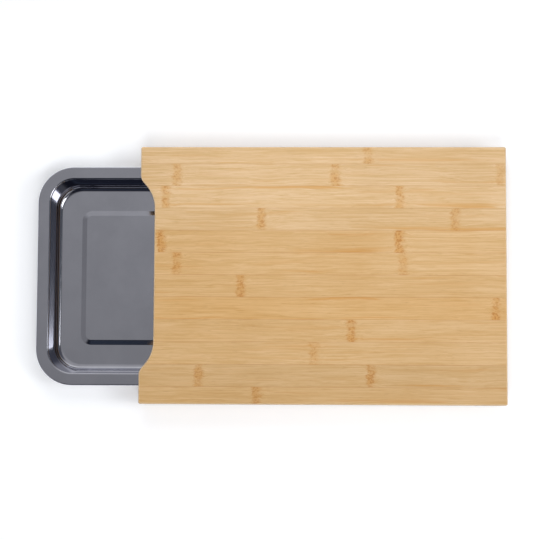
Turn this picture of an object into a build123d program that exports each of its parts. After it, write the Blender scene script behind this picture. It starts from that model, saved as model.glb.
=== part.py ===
# A bamboo cutting board with a steel tray that slides under it like a drawer.
#
# The board is a three-ply bamboo panel: face strips along the board, core slats across
# it and back strips along it, all glued. Two side rails and a rear crossbar stand under
# the panel, and the rails leave a slot below the panel for the flat rim of the tray.
# Screws come up through the rails and the crossbar, dowels tie the crossbar to the rails,
# and four push-in silicone feet stand on the worktop. Food is swept over the notch in the
# panel's front end into the tray.
#
# Millimetres. +X runs from the tray's front end to the crossbar, +Y to the left as seen
# from the tray's front, +Z up. The origin is on the worktop, under the middle of the
# board and the drawn-out tray taken together.

from build123d import *
from math import cos, radians, tan
import os

os.makedirs("parts", exist_ok=True)

# ---- Driving dimensions -----------------------------------------------------------

# panel
board_length = 380.0
board_width = 268.0
face_ply = 5.0
core_ply = 6.0
back_ply = 5.0
corner_round = 2.0  # plan radius of the board's four corners
edge_round = 1.5  # rounding of the chopping face's edge
full_strips = 10  # in the face and back plies, all of one width
edge_strip_width = 18.0  # the narrower strip along each side
core_slats = 19

# notch in the panel's front end
notch_width = 200.0  # between the two ramps, at the board's end
notch_depth = 14.8
notch_slope = 40.0  # degrees between a ramp and the board's end
horn_round = 12.0
notch_round = 36.0

# rails and crossbar
rail_width = 27.0
rail_web = 17.5  # what stands outside the rim slot
slot_height = 4.0
slot_flare = 2.0  # lead-in at the front end of each ledge
rail_round = 1.5  # rounding of the lower outer edges
crossbar_width = 20.0

# tray
tray_drawn_out = 110.0  # how far the tray stands out of the board in use
tray_depth = 26.0
tray_sheet = 0.8
rim_width = 13.0  # from the rim's outer edge to the line of the wall
rim_corner = 38.0  # plan radius of the rim's outer corners
bowl_corner = 25.0  # plan radius of the bowl's corners, the same down the wall
wall_draft = 11.0  # degrees off the vertical
rim_bend = 2.0
floor_bend = 4.5
lip_bend = 1.2
panel_inset = 43.5  # from the rim's outer edge to the foot of the raised panel
panel_rise = 2.0
panel_slope_run = 5.0
panel_corner = 11.0
panel_bend = 2.5

# clearances
worktop_gap = 6.9  # tray's underside over the worktop
ledge_gap = 0.3  # rim over the ledge that carries it
rim_head_gap = 1.3  # rim under the panel
rim_side_gap = 1.5
stop_gap = 4.0  # between the pushed-in tray and the crossbar
screw_gap = 0.05
dowel_gap = 0.05
foot_gap = 0.05
hole_end_gap = 0.5  # past the tip of a screw, dowel or foot stem

# feet, screws and dowels
foot_height = 3.0
foot_radius = 8.0
foot_edge_round = 0.8
foot_stem_radius = 3.0
foot_stem_length = 8.0
foot_stem_taper = 1.0
foot_inset = 22.0  # from the board's ends
screw_radius = 2.0
screw_length = 35.0
screw_point = 4.0
screw_head_radius = 4.0
screw_head_height = 3.2
screw_head_rim = 0.5
screw_recess_length = 4.6
screw_recess_width = 0.9
screw_recess_depth = 1.9
screw_cover = 1.0  # core left over the tip of a screw, under the face ply
rail_screw_inset = 50.0  # outer rail screws, from the board's ends
crossbar_screw_strip = 3  # its screws hold to the third strip each side of the middle
dowel_radius = 4.0
dowel_length = 30.0
dowel_chamfer = 1.0
dowel_inset = 7.0  # from the crossbar's underside and from its tongue

# ---- Levels and places worked out from them ---------------------------------------

board_front = -(board_length + tray_drawn_out) / 2 + tray_drawn_out
board_rear = board_front + board_length
board_middle = (board_front + board_rear) / 2
half_width = board_width / 2

rim_lip = slot_height - ledge_gap - rim_head_gap  # height of the turned-down edge
floor_top = worktop_gap + tray_sheet
rim_top = floor_top + tray_depth
rim_bottom = rim_top - rim_lip
ledge_top = rim_bottom - ledge_gap
panel_bottom = ledge_top + slot_height
core_bottom = panel_bottom + back_ply
face_bottom = core_bottom + core_ply
board_top = face_bottom + face_ply

rail_inner = half_width - rail_width
slot_back = half_width - rail_web
web_middle = (slot_back + half_width) / 2
crossbar_middle = board_rear - crossbar_width / 2

tray_front = board_front - tray_drawn_out
tray_length = board_length - crossbar_width - stop_gap
tray_width = 2 * (slot_back - rim_side_gap)
tray_middle = tray_front + tray_length / 2

slat_width = board_length / core_slats
strip_width = (board_width - 2 * edge_strip_width) / full_strips
first_seam = half_width - edge_strip_width
seams = [first_seam - strip_width * n for n in range(full_strips + 1)]
strip_edges = [half_width] + seams + [-half_width]

rail_screw_rows = (
    board_front + rail_screw_inset,
    board_middle,
    board_rear - rail_screw_inset,
)
left_screws = [(x, web_middle) for x in rail_screw_rows]
right_screws = [(x, -web_middle) for x in rail_screw_rows]
rear_screw_offset = (crossbar_screw_strip - 0.5) * strip_width
rear_screws = [(crossbar_middle, side * rear_screw_offset) for side in (1, -1)]
screw_tip_level = face_bottom - screw_cover
screw_head_level = screw_tip_level - screw_length
dowel_levels = (foot_height + dowel_inset, ledge_top - dowel_inset)


def save(piece, name):
    """Labels a finished piece and writes it as the node of that name."""
    piece.part.label = name
    export_step(piece.part, f"parts/{name}.step")


def upward(places, level):
    """Planes at a level from which a hole runs straight up."""
    return [Plane((x, y, level), z_dir=(0, 0, -1)) for x, y in places]


# ---- Panel: outline with the notch, three plies cut into strips and slats ---------


def panel_ply(bottom, thickness, top_round=0.0, drilled=()):
    """One whole ply: the board's outline with its notch, extruded, with pilot holes."""
    ramp = notch_depth / tan(radians(notch_slope))
    mouth = notch_width / 2
    notch_end = board_front + notch_depth
    outline = [
        (board_rear, half_width),
        (board_front, half_width),
        (board_front, mouth),
        (notch_end, mouth - ramp),
        (notch_end, ramp - mouth),
        (board_front, -mouth),
        (board_front, -half_width),
        (board_rear, -half_width),
    ]
    left_rounds = [corner_round, corner_round, horn_round, notch_round]
    with BuildPart() as ply:
        with BuildSketch(Plane.XY.offset(bottom)):
            with BuildLine():
                FilletPolyline(*outline, radius=left_rounds + left_rounds[::-1], close=True)
            make_face()
        extrude(amount=thickness)
        if top_round:
            fillet(ply.faces().sort_by(Axis.Z)[-1].edges(), top_round)
        if drilled:
            pilot_depth = screw_tip_level + hole_end_gap - bottom
            with Locations(*upward(drilled, bottom)):
                Hole(screw_radius + screw_gap, pilot_depth)
    return ply


def cut_from(ply, x_range, y_range):
    """The piece of a ply that lies between two X and two Y limits."""
    (x0, x1), (y0, y1) = x_range, y_range
    with BuildPart() as piece:
        add(ply.part)
        with BuildSketch():
            with Locations(((x0 + x1) / 2, (y0 + y1) / 2)):
                Rectangle(x1 - x0, y1 - y0)
        extrude(amount=board_top, mode=Mode.INTERSECT)
    return piece


all_screws = left_screws + right_screws + rear_screws
faces = panel_ply(face_bottom, face_ply, top_round=edge_round)
cores = panel_ply(core_bottom, core_ply, drilled=all_screws)
backs = panel_ply(panel_bottom, back_ply, drilled=all_screws)

for number in range(1, len(strip_edges)):
    across = (strip_edges[number], strip_edges[number - 1])
    save(cut_from(faces, (board_front, board_rear), across), f"face_strip_{number:02d}")
    save(cut_from(backs, (board_front, board_rear), across), f"back_strip_{number:02d}")

for number in range(1, core_slats + 1):
    slat_end = board_front + number * slat_width
    along = (slat_end - slat_width, slat_end)
    save(cut_from(cores, along, (-half_width, half_width)), f"core_slat_{number:02d}")


# ---- Rails and crossbar -----------------------------------------------------------

# The stepped hole a screw sits in: head bore, cone seat and shank, head end at z = 0.
with BuildPart() as screw_hole:
    seat_depth = screw_head_level - foot_height
    hole_profile = [
        (0, 0),
        (screw_head_radius + screw_gap, 0),
        (screw_head_radius + screw_gap, seat_depth + screw_head_rim),
        (screw_radius + screw_gap, seat_depth + screw_head_height),
        (screw_radius + screw_gap, panel_bottom - foot_height),
        (0, panel_bottom - foot_height),
    ]
    with BuildSketch(Plane.XZ):
        with BuildLine():
            Polyline(*hole_profile, close=True)
        make_face()
    revolve(axis=Axis.Z)

# The left rail is an L in section: its ledge carries the rim of the tray.
with BuildPart() as rail_left:
    rail_profile = [
        (half_width, foot_height),
        (half_width, panel_bottom),
        (slot_back, panel_bottom),
        (slot_back, ledge_top),
        (rail_inner, ledge_top),
        (rail_inner, foot_height),
    ]
    with BuildSketch(Plane.YZ.offset(board_front)):
        with BuildLine():
            Polyline(*rail_profile, close=True)
        make_face()
    extrude(amount=board_length)
    outer_face = rail_left.faces().sort_by(Axis.Y)[-1]
    fillet(outer_face.edges().filter_by(Axis.Z), corner_round)
    lower_face = rail_left.faces().sort_by(Axis.Z)[0]
    fillet(lower_face.edges().filter_by(Axis.X).sort_by(Axis.Y)[-1], rail_round)
    ledge = rail_left.faces().filter_by(Axis.Z).filter_by_position(Axis.Z, ledge_top, ledge_top)
    chamfer(ledge.edges().sort_by(Axis.X)[0], slot_flare)
    with Locations(*[(x, y, foot_height) for x, y in left_screws]):
        add(screw_hole.part, mode=Mode.SUBTRACT)
    foot_rows = (board_front + foot_inset, board_rear - foot_inset)
    with Locations(*upward([(x, web_middle) for x in foot_rows], foot_height)):
        Hole(foot_stem_radius + foot_gap, foot_stem_length + hole_end_gap)
    dowel_marks = [(crossbar_middle, rail_inner, level) for level in dowel_levels]
    with Locations(*[Plane(mark, z_dir=(0, -1, 0)) for mark in dowel_marks]):
        Hole(dowel_radius + dowel_gap, dowel_length / 2 + hole_end_gap)
save(rail_left, "rail_left")

with BuildPart() as rail_right:
    mirror(rail_left.part, about=Plane.XZ)
save(rail_right, "rail_right")

# The crossbar is a T in section: its tongues fill the rear ends of the rim slots.
with BuildPart() as crossbar:
    left_profile = [
        (rail_inner, foot_height),
        (rail_inner, ledge_top),
        (slot_back, ledge_top),
        (slot_back, panel_bottom),
    ]
    right_profile = [(-y, z) for y, z in reversed(left_profile)]
    with BuildSketch(Plane.YZ.offset(board_rear - crossbar_width)):
        with BuildLine():
            Polyline(*left_profile, *right_profile, close=True)
        make_face()
    extrude(amount=crossbar_width)
    with Locations(*[(x, y, foot_height) for x, y in rear_screws]):
        add(screw_hole.part, mode=Mode.SUBTRACT)
    for side in (1, -1):
        dowel_marks = [(crossbar_middle, side * rail_inner, level) for level in dowel_levels]
        with Locations(*[Plane(mark, z_dir=(0, side, 0)) for mark in dowel_marks]):
            Hole(dowel_radius + dowel_gap, dowel_length / 2 + hole_end_gap)
save(crossbar, "crossbar")


# ---- Dowels, screws and feet ------------------------------------------------------

# Two dowels at each end of the crossbar, half in it and half in the rail.
with BuildPart() as dowels:
    for side in (1, -1):
        for level in dowel_levels:
            dowel_end = (crossbar_middle, side * (rail_inner + dowel_length / 2), level)
            with BuildSketch(Plane(dowel_end, z_dir=(0, -side, 0))):
                Circle(dowel_radius)
    extrude(amount=dowel_length)
    chamfer(dowels.edges().filter_by(GeomType.CIRCLE), dowel_chamfer)
save(dowels, "crossbar_dowels")

# A countersunk screw with a cross recess, head at z = 0 and point up.
with BuildPart() as screw:
    screw_profile = [
        (0, 0),
        (screw_head_radius, 0),
        (screw_head_radius, screw_head_rim),
        (screw_radius, screw_head_height),
        (screw_radius, screw_length - screw_point),
        (0, screw_length),
    ]
    with BuildSketch(Plane.XZ):
        with BuildLine():
            Polyline(*screw_profile, close=True)
        make_face()
    revolve(axis=Axis.Z)
    with BuildSketch():
        Rectangle(screw_recess_length, screw_recess_width)
        Rectangle(screw_recess_width, screw_recess_length)
    extrude(amount=screw_recess_depth, mode=Mode.SUBTRACT)

screw_sets = {
    "left_rail_screws": left_screws,
    "right_rail_screws": right_screws,
    "crossbar_screws": rear_screws,
}
for name, places in screw_sets.items():
    with BuildPart() as screws:
        with Locations(*[(x, y, screw_head_level) for x, y in places]):
            add(screw.part)
    save(screws, name)

# A silicone foot: a round pad with a stem pushed up into the rail.
with BuildPart() as foot:
    with BuildSketch():
        Circle(foot_radius)
    extrude(amount=foot_height)
    fillet(foot.edges().sort_by(Axis.Z)[0], foot_edge_round)
    with BuildSketch(Plane.XY.offset(foot_height)):
        Circle(foot_stem_radius)
    extrude(amount=foot_stem_length)
    chamfer(foot.edges().sort_by(Axis.Z)[-1], foot_stem_taper)

for end, x in zip(("front", "rear"), foot_rows):
    for hand, y in (("left", web_middle), ("right", -web_middle)):
        with BuildPart() as placed_foot:
            with Locations((x, y, 0)):
                add(foot.part)
        save(placed_foot, f"foot_{end}_{hand}")


# ---- Tray: one pressed steel sheet with a flat rim and a raised panel in its floor -


def bowl(bottom, skin, bend):
    """The bowl from the rim's top down to a level, a skin's thickness out, foot rounded."""
    slope = tan(radians(wall_draft))
    out = skin / cos(radians(wall_draft))
    with BuildPart() as block:
        for level in (rim_top, bottom):
            grow = 2 * (out - rim_width - (rim_top - level) * slope)
            with BuildSketch(Plane.XY.offset(level)):
                with Locations((tray_middle, 0)):
                    RectangleRounded(tray_length + grow, tray_width + grow, bowl_corner + out)
        loft(ruled=True)
        fillet(block.faces().sort_by(Axis.Z)[0].edges(), bend)
    return block.part


def raised_panel(bottom):
    """The raised middle of the floor, as a block standing on a level."""
    with BuildPart() as block:
        for level, inset in ((bottom, 0), (bottom + panel_rise, panel_slope_run)):
            length = tray_length - 2 * (panel_inset + inset)
            width = tray_width - 2 * (panel_inset + inset)
            with BuildSketch(Plane.XY.offset(level)):
                with Locations((tray_middle, 0)):
                    RectangleRounded(length, width, panel_corner - inset)
        loft(ruled=True)
        fillet(block.faces().sort_by(Axis.Z)[-1].edges(), panel_bend)
    return block.part


with BuildPart() as tray:
    # the rim, its edge rolled over and turned down
    with BuildSketch(Plane.XY.offset(rim_bottom)):
        with Locations((tray_middle, 0)):
            RectangleRounded(tray_length, tray_width, rim_corner)
    extrude(amount=rim_lip)
    fillet(tray.faces().sort_by(Axis.Z)[-1].edges(), lip_bend)
    with BuildSketch(Plane.XY.offset(rim_bottom)) as under_rim:
        with Locations((tray_middle, 0)):
            RectangleRounded(tray_length, tray_width, rim_corner)
        offset(amount=-tray_sheet, mode=Mode.REPLACE)
    extrude(amount=rim_lip - tray_sheet, mode=Mode.SUBTRACT)
    # the bowl, and the bend by which it leaves the rim's underside
    add(bowl(worktop_gap, tray_sheet, floor_bend + tray_sheet))
    rim_underside = tray.faces().filter_by(Axis.Z).filter_by_position(
        Axis.Z, rim_top - tray_sheet, rim_top - tray_sheet
    )
    fillet(rim_underside[0].inner_wires()[0].edges(), rim_bend - tray_sheet)
    add(bowl(floor_top, 0, floor_bend), mode=Mode.SUBTRACT)
    rim_face = tray.faces().filter_by(Axis.Z).sort_by(Axis.Z)[-1]
    fillet(rim_face.inner_wires()[0].edges(), rim_bend)
    # the raised middle of the floor
    add(raised_panel(floor_top))
    add(raised_panel(worktop_gap), mode=Mode.SUBTRACT)
save(tray, "tray")
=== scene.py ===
from math import cos, pi, radians, sin, tan

import bmesh
import bpy
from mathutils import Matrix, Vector


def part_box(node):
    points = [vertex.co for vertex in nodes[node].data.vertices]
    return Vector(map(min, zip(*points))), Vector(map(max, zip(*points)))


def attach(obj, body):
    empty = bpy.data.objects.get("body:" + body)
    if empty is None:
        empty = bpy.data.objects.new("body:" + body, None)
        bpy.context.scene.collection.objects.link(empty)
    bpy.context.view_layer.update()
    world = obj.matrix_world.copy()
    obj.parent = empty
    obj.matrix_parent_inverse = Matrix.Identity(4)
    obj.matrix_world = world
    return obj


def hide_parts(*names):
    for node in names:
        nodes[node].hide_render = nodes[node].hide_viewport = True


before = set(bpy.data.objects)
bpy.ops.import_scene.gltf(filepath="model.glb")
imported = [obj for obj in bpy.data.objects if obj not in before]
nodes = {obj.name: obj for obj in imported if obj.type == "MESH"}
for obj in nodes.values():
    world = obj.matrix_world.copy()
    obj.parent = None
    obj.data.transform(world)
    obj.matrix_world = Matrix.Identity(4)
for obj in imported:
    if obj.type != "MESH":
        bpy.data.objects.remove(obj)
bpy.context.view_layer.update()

MM = 0.001

# ---- Chopping face ----------------------------------------------------------------
# Strips of pale bamboo run the length of the board, glued edge to edge and planed flat.
# Each strip is split from another culm, so its fibres and the places of its knuckles are
# its own, and so in part is its shade; the strips also darken in turn from strip 1 to
# strip 12, which is painted shade for light falling off across the board. The face is
# oiled, and its sharp edges are sanded round.


def colour(red, green, blue):
    """A paint chip's three screen values as the linear colour that a shader takes."""
    chips = [value / 255 for value in (red, green, blue)]
    return [c / 12.92 if c < 0.04045 else ((c + 0.055) / 1.055) ** 2.4 for c in chips] + [1]


def plug(tree, socket, value):
    """Links a socket to another one, or sets it to a plain value."""
    if isinstance(value, bpy.types.NodeSocket):
        tree.links.new(value, socket)
    else:
        socket.default_value = value


def add_node(tree, kind, inputs, **settings):
    """A shader node with its settings and its inputs by name or number."""
    made = tree.nodes.new(kind)
    for name, value in settings.items():
        setattr(made, name, value)
    for name, value in inputs.items():
        plug(tree, made.inputs[name], value)
    return made


def maths(tree, operation, *values):
    return add_node(tree, "ShaderNodeMath", dict(enumerate(values)), operation=operation).outputs[0]


def vector_maths(tree, operation, first, second):
    inputs = {0: first, 1: second}
    return add_node(tree, "ShaderNodeVectorMath", inputs, operation=operation).outputs


def split(tree, vector):
    """The X, Y and Z of a vector."""
    return add_node(tree, "ShaderNodeSeparateXYZ", {0: vector}).outputs


def join(tree, x, y, z):
    return add_node(tree, "ShaderNodeCombineXYZ", {"X": x, "Y": y, "Z": z}).outputs[0]


def ease(tree, value, low, high, start=0.0, end=1.0):
    """A smooth step from start to end while value goes from low to high."""
    inputs = {"Value": value, "From Min": low, "From Max": high, "To Min": start, "To Max": end}
    step = add_node(tree, "ShaderNodeMapRange", inputs, interpolation_type="SMOOTHSTEP")
    return step.outputs["Result"]


def mix(tree, share, first, second, blend="MIX"):
    """Two colours mixed; at a share of 1 only the second is left."""
    made = add_node(tree, "ShaderNodeMix", {}, data_type="RGBA", blend_type=blend)
    plug(tree, made.inputs[0], share)
    plug(tree, made.inputs[6], first)
    plug(tree, made.inputs[7], second)
    return made.outputs[2]


def stretch(tree, vector, scale):
    return vector_maths(tree, "MULTIPLY", vector, scale)[0]


def noise(tree, place, scale, detail=2.0, roughness=0.5):
    """Clouds from 0 to 1, with a scale of so many to the metre along each axis."""
    inputs = {"Vector": stretch(tree, place, scale), "Scale": 1.0}
    inputs.update({"Detail": detail, "Roughness": roughness})
    return add_node(tree, "ShaderNodeTexNoise", inputs).outputs["Fac"]


def swing(tree, clouds, reach):
    """Clouds from 0 to 1 turned into a wander about zero, as wide as the reach."""
    return maths(tree, "MULTIPLY", maths(tree, "SUBTRACT", clouds, 0.5), reach)


def effect(name, inputs, outputs):
    """A new node group with these sockets: the group, its inputs and its outputs."""
    kinds = {"value": "NodeSocketFloat", "colour": "NodeSocketColor", "vector": "NodeSocketVector"}
    group = bpy.data.node_groups.new(name, "ShaderNodeTree")
    for label, kind in inputs.items():
        group.interface.new_socket(name=label, in_out="INPUT", socket_type=kinds[kind])
    for label, kind in outputs.items():
        group.interface.new_socket(name=label, in_out="OUTPUT", socket_type=kinds[kind])
    given = group.nodes.new("NodeGroupInput").outputs
    result = group.nodes.new("NodeGroupOutput").inputs
    return group, given, result


def use(tree, group, **inputs):
    """A node that holds an effect, with its inputs by name and spaces as underscores."""
    made = tree.nodes.new("ShaderNodeGroup")
    made.node_tree = group
    for name, value in inputs.items():
        plug(tree, made.inputs[name.replace("_", " ")], value)
    return made.outputs


def new_material(name):
    """A material, its tree and the inputs of its surface shader."""
    material = bpy.data.materials.new(name)
    material.use_nodes = True
    tree = material.node_tree
    return material, tree, tree.nodes["Principled BSDF"].inputs


def coordinates(tree):
    """The places and the normals that a material can read off the piece."""
    return add_node(tree, "ShaderNodeTexCoord", {}).outputs


def dress(tree, surface, tone, roughness, relief, depth, strength):
    """Plugs a colour, a roughness and a fine relief of some depth into a surface."""
    plug(tree, surface["Base Color"], tone)
    plug(tree, surface["Roughness"], roughness)
    inputs = {"Strength": strength, "Distance": depth, "Height": relief}
    plug(tree, surface["Normal"], add_node(tree, "ShaderNodeBump", inputs).outputs[0])


def bamboo_fibre_effect():
    """Straight fibres along the grain: long streaks, hair-fine lines and short dashes."""
    group, given, result = effect(
        "bamboo fibres",
        {"Grain Place": "vector", "Seed": "value", "Pale": "colour", "Deep": "colour"},
        {"Color": "colour", "Flame": "value", "Height": "value"},
    )
    seed_step = (0.173, 0.0917, 0.0631)  # metres through the pattern for a seed of one
    dash_tint = (0.91, 0.89, 0.85, 1)
    offset = {0: seed_step, "Scale": given["Seed"]}
    offset = add_node(group, "ShaderNodeVectorMath", offset, operation="SCALE").outputs[0]
    place = vector_maths(group, "ADD", given["Grain Place"], offset)[0]
    sway = swing(group, noise(group, place, (13, 45, 45)), 6 * MM)
    place = vector_maths(group, "ADD", place, join(group, 0.0, sway, sway))[0]
    cloud = noise(group, place, (6, 110, 110))
    streak = noise(group, place, (12, 800, 800), detail=4, roughness=0.62)
    hair = noise(group, place, (45, 2300, 2300))
    dash = noise(group, place, (110, 1500, 1500), detail=1)
    flame = noise(group, place, (8, 230, 230), detail=3, roughness=0.45)
    level = maths(group, "MULTIPLY_ADD", hair, 0.25, maths(group, "MULTIPLY", cloud, 0.2))
    level = maths(group, "MULTIPLY_ADD", streak, 0.55, level)
    tone = mix(group, ease(group, level, 0.355, 0.645), given["Deep"], given["Pale"])
    dashes = ease(group, dash, 0.6, 0.74)
    plug(group, result["Color"], mix(group, dashes, tone, dash_tint, "MULTIPLY"))
    plug(group, result["Flame"], ease(group, flame, 0.56, 0.7))
    plug(group, result["Height"], maths(group, "SUBTRACT", hair, maths(group, "MULTIPLY", dashes, 0.4)))
    return group


def knuckle_effect():
    """The mark of a culm's knuckle across a strip: ragged freckles, and fibres that swerve."""
    group, given, result = effect(
        "bamboo knuckle",
        {"Grain Place": "vector", "Mark Place": "value", "Reach": "value", "Strength": "value"},
        {"Grain Place": "vector", "Freckles": "value", "Band": "value"},
    )
    lean = -0.25  # the mark reaches farther on one side of its place than on the other
    swerve_reach = 3.2  # the fibres swerve out to this many times the mark's own reach
    place = given["Grain Place"]
    part = split(group, place)
    wander = swing(group, noise(group, place, (90, 300, 300), detail=4), 10 * MM)
    away = maths(group, "SUBTRACT", maths(group, "ADD", part["X"], wander), given["Mark Place"])
    away = maths(group, "MULTIPLY_ADD", away, lean, maths(group, "ABSOLUTE", away))
    away = maths(group, "DIVIDE", away, given["Reach"])
    ragged = ease(group, noise(group, place, (60, 170, 170)), 0.36, 0.54, 0.42, 1.0)
    band = maths(group, "MULTIPLY", ease(group, away, 1.0, 0.25), ragged)
    spots = ease(group, noise(group, place, (520, 620, 620)), 0.46, 0.6)
    freckles = maths(group, "MULTIPLY", spots, band)
    plug(group, result["Freckles"], maths(group, "MULTIPLY", freckles, given["Strength"]))
    plug(group, result["Band"], maths(group, "MULTIPLY", band, given["Strength"]))
    near = maths(group, "MULTIPLY", ease(group, away, swerve_reach, 0.0), given["Strength"])
    swerve = swing(group, noise(group, place, (150, 260, 260)), 9 * MM)
    swerve = maths(group, "MULTIPLY", swerve, near)
    bent = join(group, part["X"], maths(group, "ADD", part["Y"], swerve), part["Z"])
    plug(group, result["Grain Place"], bent)
    return group


def glue_line_effect():
    """Where laminations meet: a hair of dark glue, a margin on each side, and a count."""
    group, given, result = effect(
        "glue lines",
        {"Across": "value", "Start": "value", "Pitch": "value"},
        {"Line": "value", "Margin": "value", "Layer": "value"},
    )
    line_edge, line_core = 0.45 * MM, 0.1 * MM
    margin_edge, margin_core = 7 * MM, 0.5 * MM
    across = maths(group, "SUBTRACT", given["Across"], given["Start"])
    turns = maths(group, "DIVIDE", across, given["Pitch"])
    share = maths(group, "FRACT", turns)
    nearest = maths(group, "MINIMUM", share, maths(group, "SUBTRACT", 1.0, share))
    distance = maths(group, "MULTIPLY", nearest, given["Pitch"])
    plug(group, result["Line"], ease(group, distance, line_edge, line_core))
    plug(group, result["Margin"], ease(group, distance, margin_edge, margin_core))
    plug(group, result["Layer"], maths(group, "FLOOR", turns))
    return group


def end_grain_effect():
    """Cut ends of the fibres: dark bundle dots, larger in some places than in others."""
    group, given, result = effect(
        "bamboo end grain",
        {"Grain Place": "vector", "Facing": "value"},
        {"Share": "value", "Dots": "value"},
    )
    cells = {"Vector": stretch(group, given["Grain Place"], (0, 900, 1150)), "Scale": 1.0}
    dots = add_node(group, "ShaderNodeTexVoronoi", cells).outputs["Distance"]
    crowd = noise(group, given["Grain Place"], (0, 60, 240))
    size = ease(group, crowd, 0.35, 0.65, 0.24, 0.44)
    plug(group, result["Dots"], ease(group, dots, size, maths(group, "MULTIPLY", size, 0.4)))
    plug(group, result["Share"], ease(group, maths(group, "ABSOLUTE", given["Facing"]), 0.6, 0.8))
    return group


def edge_highlight_effect():
    """A painted highlight on rounded edges, where a rounding turns between level and upright."""
    group, given, result = effect("painted edge highlight", {"Normal": "vector"}, {"Highlight": "value"})
    just_over_one = 1.0001  # keeps the root of a level face above zero
    upright = maths(group, "ABSOLUTE", split(group, given["Normal"])["Z"])
    rest = maths(group, "SUBTRACT", just_over_one, maths(group, "MULTIPLY", upright, upright))
    level = maths(group, "SQRT", rest)
    tilt = maths(group, "MULTIPLY", maths(group, "MULTIPLY", upright, level), 2.0)
    plug(group, result["Highlight"], ease(group, tilt, 0.3, 1.0))
    return group


fibres = bamboo_fibre_effect()
knuckle = knuckle_effect()
glue_lines = glue_line_effect()
end_grain = end_grain_effect()
edge_highlight = edge_highlight_effect()

bamboo_pale = colour(228, 196, 155)
bamboo_deep = colour(210, 172, 118)
bamboo_ochre = colour(209, 156, 84)
# The pale colour of the painted highlight along rounded edges.
bamboo_edge_highlight = colour(244, 224, 190)
freckle_brown = colour(180, 117, 50)
cut_end = colour(186, 142, 92)
bundle_dot = colour(96, 62, 34)
knuckle_reach = 6 * MM


def bamboo(name, grain, seed, start, pitch, shade=1.0, marks=(), warm=0.75, by_layer=0.0, toast=1.0):
    """Bamboo whose grain runs along an axis, laid up in laminations across it.

    Marks are its knuckles, each a place along the grain and a strength; warm is how much
    ochre flames show; by_layer sets each lamination apart; toast is how much yellower a
    darker shade is.
    """
    material, tree, surface = new_material(name)
    where = coordinates(tree)
    spot = split(tree, where["Object"])
    facing = split(tree, where["Normal"])
    across = "Y" if grain == "X" else "X"
    place = join(tree, spot[grain], spot[across], spot["Z"])
    joint = use(tree, glue_lines, Across=spot[across], Start=start, Pitch=pitch)
    freckles = band = 0.0
    for mark, strength in marks:
        knot = use(
            tree, knuckle, Grain_Place=place, Mark_Place=mark, Reach=knuckle_reach, Strength=strength
        )
        place = knot["Grain Place"]
        freckles = maths(tree, "MAXIMUM", freckles, knot["Freckles"])
        band = maths(tree, "MAXIMUM", band, knot["Band"])
    layer_seed = maths(tree, "MULTIPLY_ADD", joint["Layer"], by_layer, seed)
    wood = use(tree, fibres, Grain_Place=place, Seed=layer_seed, Pale=bamboo_pale, Deep=bamboo_deep)
    near_glue = maths(tree, "MULTIPLY_ADD", joint["Margin"], 0.75, 0.25)
    flames = maths(tree, "MULTIPLY", wood["Flame"], near_glue)
    tone = mix(tree, maths(tree, "MULTIPLY", flames, warm), wood["Color"], bamboo_ochre)
    tone = mix(tree, maths(tree, "MULTIPLY", band, 0.7), tone, bamboo_ochre)
    tone = mix(tree, maths(tree, "MULTIPLY", freckles, 0.65), tone, freckle_brown)
    tone = mix(tree, maths(tree, "MULTIPLY", joint["Line"], 0.35), tone, freckle_brown)
    blotch = noise(tree, where["Object"], (14, 14, 14), detail=1)
    # The shade darkens the whole piece; on the face strips it is partly painted shade for the light
    # falling off across the board.
    patch = ease(tree, blotch, 0.3, 0.7, 0.975 * shade, 1.02 * shade)
    green = maths(tree, "POWER", patch, 1 + 0.3 * toast)
    blue = maths(tree, "POWER", patch, 1 + toast)
    tint = add_node(tree, "ShaderNodeCombineColor", {"Red": patch, "Green": green, "Blue": blue})
    tone = mix(tree, 1.0, tone, tint.outputs[0], "MULTIPLY")
    ends = use(tree, end_grain, Grain_Place=place, Facing=facing[grain])
    end_tone = mix(tree, maths(tree, "MULTIPLY", ends["Dots"], 0.6), cut_end, bundle_dot)
    tone = mix(tree, ends["Share"], tone, end_tone)
    # Rounded edges are painted paler: a painted highlight where they catch the light.
    highlight_share = use(tree, edge_highlight, Normal=where["Normal"])["Highlight"]
    tone = mix(tree, maths(tree, "MULTIPLY", highlight_share, 0.5), tone, bamboo_edge_highlight)
    dull = maths(tree, "MULTIPLY_ADD", wood["Height"], 0.12, 0.4)
    dull = maths(tree, "MULTIPLY_ADD", ends["Share"], 0.2, dull)
    pits = maths(tree, "MULTIPLY", ends["Dots"], ends["Share"])
    relief = maths(tree, "SUBTRACT", wood["Height"], pits)
    relief = maths(tree, "SUBTRACT", relief, maths(tree, "MULTIPLY", joint["Line"], 0.8))
    dress(tree, surface, tone, dull, relief, depth=0.08 * MM, strength=0.35)
    return material


def finish_node(name, material):
    """Gives a CAD node its finish and leaves its mesh alone."""
    mesh = nodes[name].data
    mesh.materials.clear()
    mesh.materials.append(material)


# Each strip's shade and toast, and its knuckles as millimetres along it with their strength.
# The shades fall from strip 1 to strip 12: partly the strips' own tone, partly painted shade
# standing in for the light falling off across the board.
face_strips = {
    1: (1.0, 1.0, [(101, 0.6)]),
    2: (0.985, 0.6, [(-98, 0.7), (67, 0.8), (238, 0.4)]),
    3: (1.0, 1.5, [(-110, 0.8), (134, 0.8)]),
    4: (0.95, 1.3, [(-10, 0.8), (191, 0.6)]),
    5: (0.925, 2.7, [(-114, 1.0), (133, 1.0)]),
    6: (0.925, 2.7, [(-98, 0.8), (137, 0.7)]),
    7: (0.9, 2.3, [(-31, 0.8)]),
    8: (0.9, 3.3, [(232, 1.0)]),
    9: (0.88, 1.8, [(83, 0.9)]),
    10: (0.87, 1.5, [(45, 0.6)]),
    11: (0.815, 0.9, [(-74, 0.8), (104, 0.9)]),
    12: (0.82, 1.2, [(-14, 0.7)]),
}
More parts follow.
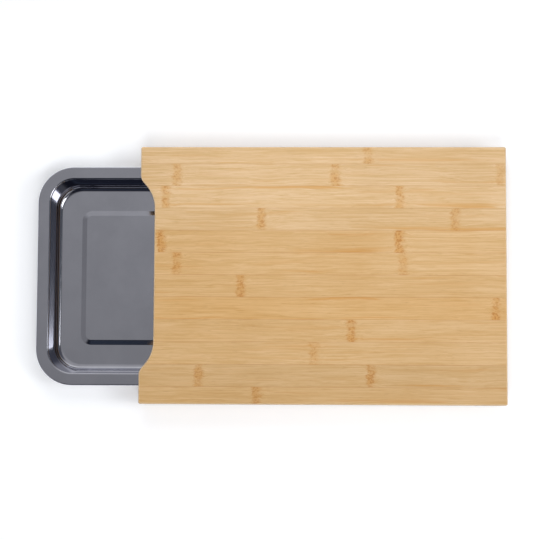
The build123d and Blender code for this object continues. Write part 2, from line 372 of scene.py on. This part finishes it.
for number, (shade, toast, knuckles) in face_strips.items():
    strip = f"face_strip_{number:02d}"
    low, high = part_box(strip)
    marks = [(place * MM, strength) for place, strength in knuckles]
    seed = number * 1.7
    laid = bamboo(f"bamboo {strip}", "X", seed, low.y, high.y - low.y, shade, marks, toast=toast)
    finish_node(strip, laid)

# ---- Panel core -------------------------------------------------------------------
# Slats of the same bamboo lie across the board between its two skins and keep it flat.
# Only their cut ends show, along the board's sides, and the first one's edge in the notch.

core_slats = sorted(name for name in nodes if name.startswith("core_slat"))
for number, slat in enumerate(core_slats, start=1):
    low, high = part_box(slat)
    seed = 40 + number * 2.3
    shade = 0.95 + 0.02 * (number % 4)
    finish_node(slat, bamboo(f"bamboo {slat}", "Y", seed, low.x, high.x - low.x, shade))

# ---- Panel back -------------------------------------------------------------------
# The underside is a third ply of strips along the board, of plainer bamboo with more of
# a culm's knuckles left in, sanded once and oiled.

knuckle_spacing = 205 * MM
back_strips = sorted(name for name in nodes if name.startswith("back_strip"))
for number, strip in enumerate(back_strips, start=1):
    low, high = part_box(strip)
    first_mark = low.x + (30 + 47 * number % 150) * MM
    marks = [(first_mark, 0.8), (first_mark + knuckle_spacing, 0.9)]
    seed = 90 + number * 1.9
    shade = 0.93 + 0.025 * (number % 3)
    finish_node(strip, bamboo(f"bamboo {strip}", "X", seed, low.y, high.y - low.y, shade, marks))

# ---- Rails and crossbar -----------------------------------------------------------
# The two rails and the bar that closes the rear are sawn from block bamboo, glued up of
# thin laminations on edge. They are screwed up into the panel and carry the tray.

rail_layers = 5
crossbar_layers = 4
glue_overhang = 0.3 * MM  # the outermost glue lines fall this far outside the wood

for number, rail in enumerate(("rail_left", "rail_right")):
    low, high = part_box(rail)
    start = low.y - glue_overhang
    pitch = (high.y + glue_overhang - start) / rail_layers
    seed = 130 + 9 * number
    marks = [(low.x + (70 + 45 * number) * MM, 0.7), (low.x + (262 + 30 * number) * MM, 0.8)]
    look = {"shade": 0.97, "marks": marks, "warm": 0.4, "by_layer": 3.7}
    finish_node(rail, bamboo(f"bamboo {rail}", "X", seed, start, pitch, **look))

low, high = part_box("crossbar")
start = low.x - glue_overhang
pitch = (high.x + glue_overhang - start) / crossbar_layers
seed = 160
look = {"shade": 0.96, "marks": [(-41 * MM, 0.8)], "warm": 0.4, "by_layer": 4.3}
finish_node("crossbar", bamboo("bamboo crossbar", "Y", seed, start, pitch, **look))

# ---- Dowels -----------------------------------------------------------------------
# Turned beech dowels, two at each end of the crossbar, glued half into it and half into
# the rail. Their grain runs across the board.


def beech_dowel():
    material, tree, surface = new_material("turned beech")
    where = coordinates(tree)
    grain = noise(tree, where["Object"], (900, 30, 900), detail=3)
    fleck = noise(tree, where["Object"], (1800, 260, 1800), detail=1)
    tone = mix(tree, ease(tree, grain, 0.35, 0.65), colour(196, 152, 112), colour(222, 184, 146))
    tone = mix(tree, ease(tree, fleck, 0.6, 0.7, 0.0, 0.5), tone, colour(150, 102, 68))
    dull = ease(tree, grain, 0.3, 0.7, 0.55, 0.7)
    dress(tree, surface, tone, dull, grain, depth=0.1 * MM, strength=0.4)
    return material


finish_node("crossbar_dowels", beech_dowel())

# ---- Screws -----------------------------------------------------------------------
# Countersunk stainless screws with a cross recess, driven up through the rails and the
# crossbar. The heads are turned, so faint lines run over them, and grease dulls them.


def smudge_effect():
    """Uneven handling marks on metal and rubber: soft patches and a few fine specks."""
    group, given, result = effect(
        "smudges", {"Place": "vector", "Size": "value"}, {"Patch": "value", "Speck": "value"}
    )
    scale = maths(group, "DIVIDE", 1.0, given["Size"])
    patch = noise(group, given["Place"], join(group, scale, scale, scale), detail=3, roughness=0.55)
    specks = noise(group, given["Place"], (2600, 2600, 2600), detail=1)
    plug(group, result["Patch"], ease(group, patch, 0.32, 0.68))
    plug(group, result["Speck"], ease(group, specks, 0.66, 0.76))
    return group


smudges = smudge_effect()


def turned_steel():
    material, tree, surface = new_material("turned stainless steel")
    surface["Metallic"].default_value = 1.0
    where = coordinates(tree)
    mark = use(tree, smudges, Place=where["Object"], Size=3 * MM)
    lines = noise(tree, where["Object"], (5200, 900, 5200))
    tone = mix(tree, mark["Patch"], colour(150, 150, 154), colour(186, 187, 192))
    tone = mix(tree, maths(tree, "MULTIPLY", mark["Speck"], 0.4), tone, colour(96, 92, 88))
    dull = ease(tree, mark["Patch"], 0.0, 1.0, 0.42, 0.28)
    dress(tree, surface, tone, dull, lines, depth=0.03 * MM, strength=0.3)
    return material


screw_finish = turned_steel()
for screws in ("left_rail_screws", "right_rail_screws", "crossbar_screws"):
    finish_node(screws, screw_finish)

# ---- Feet -------------------------------------------------------------------------
# Four moulded silicone feet, each a round pad with a stem pushed up into the rail. The
# rubber is a smoky grey, a little glossy where it left the mould and dull where it stands.


def foot_silicone():
    material, tree, surface = new_material("smoky silicone")
    where = coordinates(tree)
    mark = use(tree, smudges, Place=where["Object"], Size=5 * MM)
    scuffed = ease(tree, split(tree, where["Object"])["Z"], 0.8 * MM, 0.0)
    tone = mix(tree, mark["Patch"], colour(158, 158, 156), colour(176, 176, 174))
    tone = mix(tree, maths(tree, "MULTIPLY", scuffed, 0.5), tone, colour(120, 116, 110))
    dull = maths(tree, "MULTIPLY_ADD", scuffed, 0.3, 0.45)
    grain = noise(tree, where["Object"], (3500, 3500, 3500))
    dress(tree, surface, tone, dull, grain, depth=0.05 * MM, strength=0.25)
    return material


rubber = foot_silicone()
for end in ("front", "rear"):
    for hand in ("left", "right"):
        finish_node(f"foot_{end}_{hand}", rubber)

# ---- Tray -------------------------------------------------------------------------
# One stainless sheet pressed deep: a flat rim with its edge turned down, a steep wall and
# a floor with a raised middle. Rim and floor keep the satin of the rolled sheet, and the
# wall is bright where the punch drew it. The rim slides on the ledges of the rails.

sheet = 0.8 * MM
rim_width = 13 * MM
rim_lip = 2.4 * MM
rim_corner = 38 * MM
bowl_corner = 25 * MM
wall_draft = radians(11)
lip_bend = 1.2 * MM
mouth_bend = 2 * MM
floor_bend = 6 * MM
panel_inset = 43.5 * MM
panel_slope_run = 5 * MM
panel_rise = 1.6 * MM
panel_corner = 11 * MM
panel_least_corner = 3 * MM
panel_foot_blend = 1.2 * MM
panel_top_blend = 2.5 * MM
panel_top_run = 12 * MM  # from the panel's upper edge to the last ring on its top
corner_steps = 20
bend_steps = 8

tray_low, tray_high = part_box("tray")
tray_middle = (tray_low.x + tray_high.x) / 2
half_length = (tray_high.x - tray_low.x) / 2
half_width = (tray_high.y - tray_low.y) / 2
rim_top = tray_high.z
floor_top = tray_low.z + sheet
wall_foot = rim_width + (rim_top - floor_top) * tan(wall_draft)


def bend(corner, before, after, radius):
    """Points of an arc that rounds a corner of the section between two other points."""
    back = (Vector(before) - Vector(corner)).normalized()
    ahead = (Vector(after) - Vector(corner)).normalized()
    half = back.angle(ahead) / 2
    middle = Vector(corner) + (back + ahead).normalized() * radius / sin(half)
    first = Vector(corner) + back * radius / tan(half) - middle
    last = Vector(corner) + ahead * radius / tan(half) - middle
    sweep = first.angle(last)
    points = []
    for step in range(bend_steps + 1):
        share = step / bend_steps
        turned = (first * sin((1 - share) * sweep) + last * sin(share * sweep)) / sin(sweep)
        points.append(middle + turned)
    return points


def pressed_section():
    """The sheet's upper face from the turned-down edge to the panel: (inset, level) points."""
    panel_top = floor_top + panel_rise
    panel_edge = panel_inset + panel_slope_run
    corners = [
        (0, rim_top - rim_lip),
        (0, rim_top),
        (rim_width, rim_top),
        (wall_foot, floor_top),
        (panel_inset, floor_top),
        (panel_edge, panel_top),
        (panel_edge + panel_top_run, panel_top),
    ]
    bends = [lip_bend, mouth_bend, floor_bend, panel_foot_blend, panel_top_blend]
    points = [Vector(corners[0])]
    for number, radius in enumerate(bends, start=1):
        points += bend(corners[number], corners[number - 1], corners[number + 1], radius)
    points.append(Vector(corners[-1]))
    return points


def plan_corner(inset):
    """Corner radius of the ring at an inset: the same all the way down the wall."""
    if inset < rim_width:
        return rim_corner - inset
    if inset < wall_foot:
        return bowl_corner
    if inset < panel_inset:
        share = (inset - wall_foot) / (panel_inset - wall_foot)
        return bowl_corner + (panel_corner - bowl_corner) * share
    return max(panel_corner - (inset - panel_inset), panel_least_corner)


def ring(mesh, inset, level):
    """One loop of the tray: a rounded rectangle at an inset from the rim's edge."""
    radius = plan_corner(inset)
    run = half_length - inset - radius
    side = half_width - inset - radius
    loop = []
    for quarter, (sign_x, sign_y) in enumerate(((1, 1), (-1, 1), (-1, -1), (1, -1))):
        for step in range(corner_steps + 1):
            angle = (quarter + step / corner_steps) * pi / 2
            x = tray_middle + sign_x * run + radius * cos(angle)
            y = sign_y * side + radius * sin(angle)
            loop.append(mesh.verts.new((x, y, level)))
    return loop


def place_mesh(name, mesh):
    """Puts a finished mesh into the scene as an object."""
    data = bpy.data.meshes.new(name)
    mesh.to_mesh(data)
    mesh.free()
    made = bpy.data.objects.new(name, data)
    bpy.context.scene.collection.objects.link(made)
    return made


def press_tray():
    mesh = bmesh.new()
    loops = [ring(mesh, point.x, point.y) for point in pressed_section()]
    for outer, inner in zip(loops, loops[1:]):
        for here in range(len(outer)):
            after = (here + 1) % len(outer)
            mesh.faces.new((outer[here], outer[after], inner[after], inner[here]))
    mesh.faces.new(loops[-1])
    for face in mesh.faces:
        face.smooth = True
    made = place_mesh("tray_pressing", mesh)
    skin = made.modifiers.new("sheet", "SOLIDIFY")
    skin.thickness = sheet
    skin.offset = -1
    skin.use_even_offset = True
    made.modifiers.new("even shading", "WEIGHTED_NORMAL")
    return made


def satin_steel():
    """Satin sheet that turns bright on the drawn wall, with rolling lines and smudges."""
    material, tree, surface = new_material("pressed stainless steel")
    surface["Metallic"].default_value = 1.0
    where = coordinates(tree)
    upright = maths(tree, "ABSOLUTE", split(tree, where["Normal"])["Z"])
    drawn = ease(tree, upright, 0.9, 0.6)
    mark = use(tree, smudges, Place=where["Object"], Size=45 * MM)
    rolled = noise(tree, where["Object"], (60, 3200, 3200), detail=3)
    blasted = noise(tree, where["Object"], (2400, 2400, 2400))
    tone = mix(tree, mark["Patch"], colour(196, 197, 206), colour(203, 204, 213))
    tone = mix(tree, maths(tree, "MULTIPLY", mark["Speck"], 0.04), tone, colour(120, 118, 116))
    satin = maths(tree, "MULTIPLY_ADD", mark["Patch"], -0.025, 0.135)
    satin = maths(tree, "MULTIPLY_ADD", rolled, 0.02, satin)
    left_satin = maths(tree, "SUBTRACT", 1.0, maths(tree, "MULTIPLY", drawn, 0.88))
    dull = maths(tree, "MULTIPLY", satin, left_satin)
    wave = noise(tree, where["Object"], (30, 30, 30), detail=1)
    fine = maths(tree, "MULTIPLY", maths(tree, "ADD", rolled, blasted), left_satin)
    relief = maths(tree, "MULTIPLY_ADD", wave, 6.0, fine)
    dress(tree, surface, tone, dull, relief, depth=0.02 * MM, strength=0.12)
    return material


tray = press_tray()
tray.data.materials.append(satin_steel())
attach(tray, "tray")
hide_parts("tray")

# ---- Worktop, light and camera ----------------------------------------------------
# The board lies on a plain white worktop in a tent, grey overhead and white low down. Dark
# cards on the near side are there for the steel to mirror, and soft lamps light the bamboo.

worktop_radius = 14
worktop_sides = 96
worktop_bounce = (0.8, 0.8, 0.8, 1)  # for the light that it throws on the board
worktop_seen = (0.817, 0.835, 0.86, 1)
worktop_glow = (0.285, 0.285, 0.285, 1)
no_glow = (0, 0, 0, 1)


def white_worktop():
    """White to the eye and in reflections, a little greyer for the light it throws back."""
    material, tree, surface = new_material("white worktop")
    surface["Roughness"].default_value = 0.9
    surface["Specular IOR Level"].default_value = 0.0
    surface["Emission Strength"].default_value = 1.0
    path = add_node(tree, "ShaderNodeLightPath", {}).outputs
    seen = maths(tree, "MAXIMUM", path["Is Camera Ray"], path["Is Glossy Ray"])
    seen = maths(tree, "MAXIMUM", seen, path["Is Transmission Ray"])
    plug(tree, surface["Base Color"], mix(tree, seen, worktop_bounce, worktop_seen))
    plug(tree, surface["Emission Color"], mix(tree, seen, no_glow, worktop_glow))
    return material


disc = bmesh.new()
bmesh.ops.create_circle(disc, cap_ends=True, segments=worktop_sides, radius=worktop_radius)
worktop = place_mesh("worktop", disc)
worktop.data.materials.append(white_worktop())

# Each card in the tent: azimuth and elevation of its middle, the angle out to which it is
# plain and the one at which it has faded out, all in degrees, and its shade.
tent_cards = [
    (85, 12, 10, 35, (0.8, 0.8, 0.8, 1)),
    (-172, 45, 16, 42, (0.24, 0.24, 0.25, 1)),
    (20, 42, 18, 32, (0.09, 0.095, 0.115, 1)),
    (-15, 60, 20, 28, (0.08, 0.085, 0.1, 1)),
    (-95, 41, 20, 30, (0.014, 0.015, 0.022, 1)),
    (-97, 57, 15, 26, (0.012, 0.013, 0.022, 1)),
    (-103, 51, 4, 7.5, (0.05, 0.063, 0.09, 1)),
]
tent_near_roof = (0.12, 0.12, 0.125, 1)
tent_far_roof = (0.44, 0.44, 0.45, 1)
tent_wall = (0.46, 0.46, 0.47, 1)
tent_foot = (1, 1, 1, 1)


def toward(azimuth, elevation):
    """Unit vector toward an azimuth from +X and an elevation over the worktop, in degrees."""
    flat = cos(radians(elevation))
    turn = radians(azimuth)
    return (flat * cos(turn), flat * sin(turn), sin(radians(elevation)))


def light_tent():
    """The tent as a world: white low down, grey overhead, darker toward the near side."""
    world = bpy.data.worlds.new("light tent")
    world.use_nodes = True
    tree = world.node_tree
    direction = coordinates(tree)["Generated"]
    part = split(tree, direction)
    roof = mix(tree, ease(tree, part["Y"], -0.35, 0.35), tent_near_roof, tent_far_roof)
    tone = mix(tree, ease(tree, part["Z"], 0.72, 0.42), roof, tent_wall)
    for azimuth, elevation, plain, faded, shade in tent_cards:
        facing = vector_maths(tree, "DOT_PRODUCT", direction, toward(azimuth, elevation))["Value"]
        share = ease(tree, facing, cos(radians(faded)), cos(radians(plain)))
        tone = mix(tree, share, tone, shade)
    tone = mix(tree, ease(tree, part["Z"], 0.08, 0.03), tone, tent_foot)
    background = tree.nodes["Background"].inputs
    plug(tree, background["Color"], tone)
    background["Strength"].default_value = 1.0
    return world


bpy.context.scene.world = light_tent()

low_flag_distance = 4
low_flag_foot = 0.02
low_flag_top = 1.5
low_flag_azimuths = range(-132, -57, 3)
low_flag_black = (0.012, 0.013, 0.02, 1)


def low_flag():
    """A dark card that stands on the near side, curved round the board, for reflections only."""
    card = bmesh.new()
    posts = []
    for azimuth in low_flag_azimuths:
        foot = Vector(toward(azimuth, 0)) * low_flag_distance
        posts.append([card.verts.new((foot.x, foot.y, z)) for z in (low_flag_foot, low_flag_top)])
    for here, after in zip(posts, posts[1:]):
        card.faces.new((here[0], after[0], after[1], here[1]))
    flag = place_mesh("low_flag", card)
    material, _, surface = new_material("black card")
    surface["Base Color"].default_value = low_flag_black
    surface["Roughness"].default_value = 1.0
    surface["Specular IOR Level"].default_value = 0.0
    flag.data.materials.append(material)
    flag.visible_camera = False
    flag.visible_diffuse = False
    flag.visible_shadow = False


low_flag()


def soft_lamp(name, azimuth, elevation, distance, size, watts, mirrored=False):
    """A soft box that looks at the middle of the board; it is reflected only if mirrored."""
    lamp = bpy.data.lights.new(name, "AREA")
    lamp.shape = "RECTANGLE"
    lamp.size, lamp.size_y = size
    lamp.energy = watts
    placed = bpy.data.objects.new(name, lamp)
    placed.location = Vector(toward(azimuth, elevation)) * distance
    placed.rotation_euler = placed.location.to_track_quat("Z", "Y").to_euler()
    placed.visible_glossy = mirrored
    bpy.context.scene.collection.objects.link(placed)


# Azimuth and elevation in degrees, distance and sides in metres, then watts.
soft_lamp("window lamp", -20, 60, 1.8, (0.56, 0.9), 5.8, mirrored=True)
soft_lamp("window fill", -8, 55, 1.8, (0.5, 0.5), 4.8)
soft_lamp("near lamp", -85, 66, 1.8, (0.6, 0.6), 11)
soft_lamp("far lamp", 95, 66, 0.85, (0.4, 0.4), 1.6)

camera_sensor = 36
camera_lens = 109.28
camera_place = (52.34 * MM, -143.09 * MM, 1742.32 * MM)
camera_turn = (0.0874, 0.0302, 0.0053)

camera_data = bpy.data.cameras.new("camera")
camera_data.sensor_width = camera_sensor
camera_data.lens = camera_lens
camera = bpy.data.objects.new("camera", camera_data)
camera.location = camera_place
camera.rotation_euler = camera_turn
bpy.context.scene.collection.objects.link(camera)
bpy.context.scene.camera = camera
bpy.context.scene.view_settings.view_transform = "Standard"
